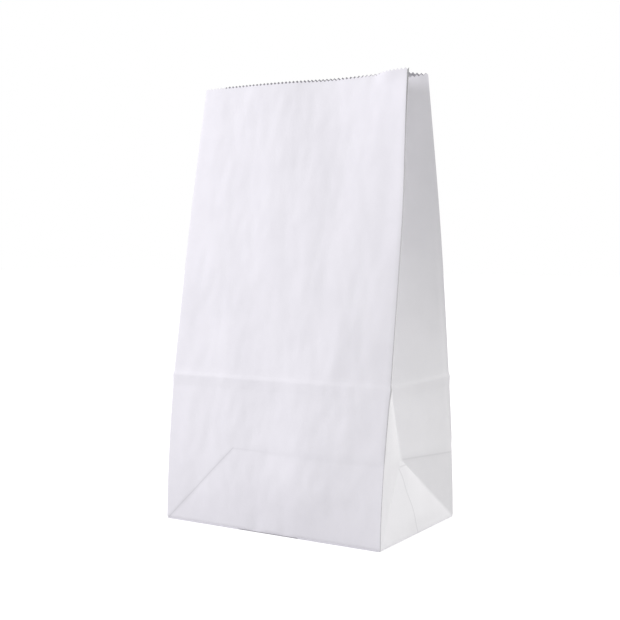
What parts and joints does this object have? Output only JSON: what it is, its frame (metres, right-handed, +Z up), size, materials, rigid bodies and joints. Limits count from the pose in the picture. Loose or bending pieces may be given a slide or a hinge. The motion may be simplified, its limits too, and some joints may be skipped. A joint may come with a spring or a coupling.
{
  "type": "block-bottomed paper bag",
  "caption": "White gusseted paper bag of 18 x 12 x 33 cm, folded and glued from one tube, standing open with a serrated mouth.",
  "frame": {"origin": "middle of the bottom, in the plane the bag stands on", "axes": "+Z up the bag to its mouth, +X along the width of the front panel, -Y out of the front panel"},
  "size_m": [0.1808, 0.1161, 0.3254],
  "materials": {
    "paper": "matt bleached kraft"
  },
  "bodies": {
    "root": {"bag": "paper"}
  },
  "joints": []
}
